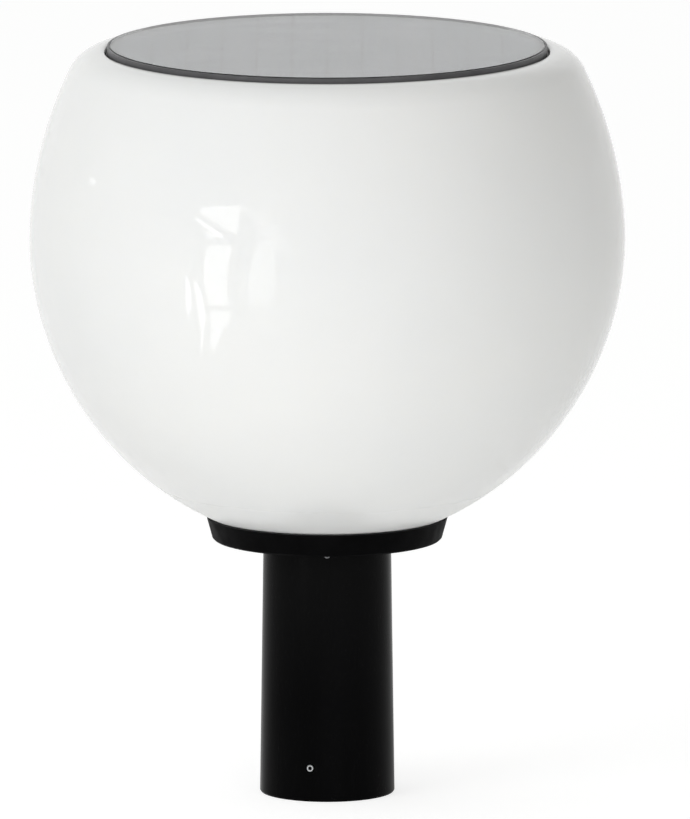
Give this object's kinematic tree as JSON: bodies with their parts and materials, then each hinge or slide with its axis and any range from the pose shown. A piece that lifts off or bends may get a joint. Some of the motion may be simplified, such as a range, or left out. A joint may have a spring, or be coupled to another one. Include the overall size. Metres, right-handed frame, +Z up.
{
  "type": "solar post top light",
  "caption": "Solar post top light: an opal globe closed by a flat round solar head, on a black collar and a tapered sleeve that slips over a pole.",
  "frame": {"origin": "centre of the sleeve's mouth, where the pole enters", "axes": "+Z up along the pole's axis, -Y to the front as in the picture, +X to the right seen from the front"},
  "size_m": [0.3, 0.3, 0.3806],
  "materials": {
    "black_paint": "black powder coat on cast aluminium, low gloss",
    "seal_rubber": "soft black rubber",
    "grey_rubber": "soft grey rubber",
    "opal_acrylic": "opal white acrylic, polished",
    "plain_aluminium": "turned aluminium",
    "zinc_steel": "zinc-plated steel",
    "dark_steel": "black oxide steel",
    "stainless_steel": "bright stainless steel",
    "dark_tray": "dark grey moulded plastic, fine texture",
    "white_board": "white lacquered board",
    "black_board": "black backing sheet",
    "solar_silicon": "dark blue silicon, smooth",
    "solar_glass": "clear solar glass, finely textured",
    "white_plastic": "white moulded plastic, satin",
    "black_plastic": "black moulded plastic",
    "battery_wrap": "green shrink wrap",
    "green_board": "green lacquered board",
    "brass": "plain brass",
    "led_phosphor": "yellow phosphor in clear resin",
    "clear_plastic": "clear moulded plastic",
    "wire_red": "soft insulation"
  },
  "bodies": {
    "fixture": {"sleeve": "black_paint", "collar": "black_paint", "neck_gasket": "seal_rubber", "globe": "opal_acrylic", "clamp_pad": "grey_rubber", "clamp_ring": "plain_aluminium", "clamp_screw_1": "zinc_steel", "clamp_screw_2": "zinc_steel", "clamp_screw_3": "zinc_steel", "clamp_screw_4": "zinc_steel", "lock_screw_1": "dark_steel", "lock_screw_2": "dark_steel", "lock_screw_3": "dark_steel", "pole_screw_1": "dark_steel", "pole_screw_2": "dark_steel", "pole_screw_3": "dark_steel"},
    "solar_head": {"head_seal": "seal_rubber", "door_seal": "seal_rubber", "housing_screw_1": "zinc_steel", "housing_screw_2": "zinc_steel", "housing_screw_3": "zinc_steel", "housing_screw_4": "zinc_steel", "door_screw_1": "zinc_steel", "door_screw_2": "zinc_steel", "door_screw_3": "zinc_steel", "door_screw_4": "zinc_steel", "led_screws": "zinc_steel", "battery_contacts": "stainless_steel", "cell_ribbons": "stainless_steel", "panel_tray": "dark_tray", "led_board": "white_board", "panel_board": "black_board", "solar_cells": "solar_silicon", "solar_glass": "solar_glass", "housing": "white_plastic", "door": "white_plastic", "battery_holder": "black_plastic", "control_parts": "black_plastic", "switch_body": "black_plastic", "battery_1": "battery_wrap", "battery_2": "battery_wrap", "battery_3": "battery_wrap", "control_board": "green_board", "switch_board": "green_board", "board_posts": "brass", "leds": "led_phosphor", "led_cover": "clear_plastic", "panel_wires": "wire_red", "battery_wires": "wire_red", "led_wires": "wire_red"},
    "button": {"power_button": "black_plastic"}
  },
  "joints": [
    {"name": "head_lift", "type": "slide", "parent": "fixture", "child": "solar_head", "axis": [0, 0, 1], "range_m": [0, 0.06]},
    {"name": "button_press", "type": "slide", "parent": "solar_head", "child": "button", "axis": [0, 0, 1], "range_m": [0, 0.0012], "stiffness_N_per_m": 400, "springref_m": -0.0008}
  ]
}
